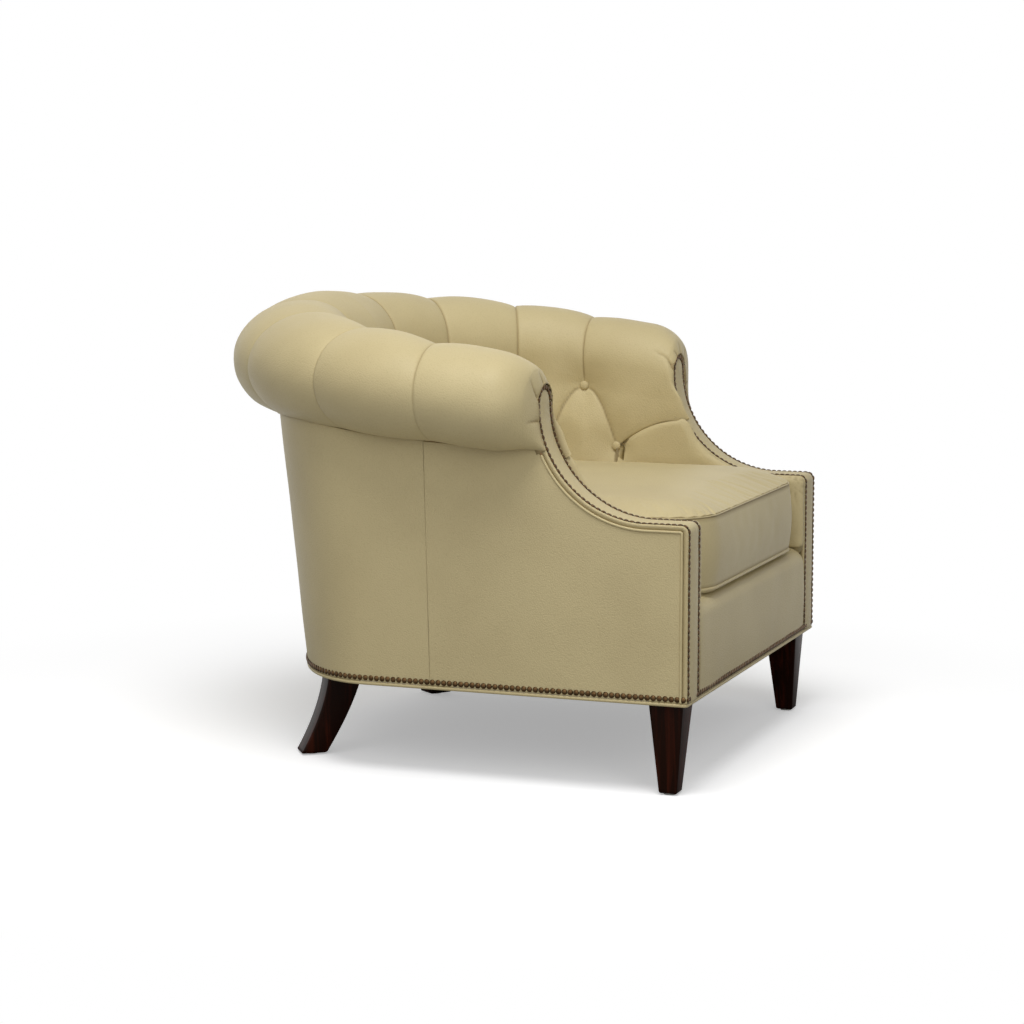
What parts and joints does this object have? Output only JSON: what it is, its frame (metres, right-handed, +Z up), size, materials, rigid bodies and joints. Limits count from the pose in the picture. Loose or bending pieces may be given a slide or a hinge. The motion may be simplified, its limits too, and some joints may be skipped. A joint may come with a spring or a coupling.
{
  "type": "leather club chair",
  "caption": "Barrel-back leather club chair with a channelled and buttoned roll, scooped arms with nailed fronts, a loose box cushion and dark tapered wooden legs.",
  "frame": {"origin": "on the floor, below the centre of the chair's outline seen from above", "axes": "+X towards the sitter's left arm, the chair faces -Y, +Z up"},
  "size_m": [0.9548, 0.8974, 0.746],
  "materials": {
    "leather": "soft pebbled grain, satin",
    "piping": "satin",
    "dark_wood": "dark stain under satin lacquer",
    "glide": "nickel plated",
    "steel": "plain",
    "beech": "sawn, unfinished",
    "webbing": "woven",
    "black_cloth": "matt",
    "nail_brass": "antiqued"
  },
  "bodies": {
    "chair": {"leg_front_left": "dark_wood", "leg_front_right": "dark_wood", "leg_back_left": "dark_wood", "leg_back_right": "dark_wood", "glides": "glide", "leg_plates": "steel", "hanger_bolts": "steel", "seat_rail_front": "beech", "seat_rail_left": "beech", "seat_rail_right": "beech", "seat_rail_back": "beech", "corner_blocks": "beech", "arm_post_left": "beech", "arm_post_right": "beech", "arm_board_left": "beech", "arm_board_right": "beech", "top_rail": "beech", "back_posts": "beech", "back_webbing": "webbing", "seat_springs": "steel", "spring_clips": "steel", "spring_ties": "steel", "seat_deck": "black_cloth", "dust_cover": "black_cloth", "front_rail_cover": "leather", "inside_back": "leather", "inside_arm_left": "leather", "inside_arm_right": "leather", "outside_back_panel": "leather", "outside_arm_left": "leather", "outside_arm_right": "leather", "arm_facing_left": "leather", "arm_facing_right": "leather", "arm_welt_left": "piping", "arm_welt_right": "piping", "base_welt": "piping", "buttons_upper": "leather", "buttons_lower": "leather"},
    "cushion": {"seat_cushion": "leather", "cushion_welt_high": "piping", "cushion_welt_low": "piping"}
  },
  "joints": [
    {"name": "cushion_lift", "type": "slide", "parent": "chair", "child": "cushion", "axis": [0, 0, 1], "range_m": [0, 0.3]}
  ]
}
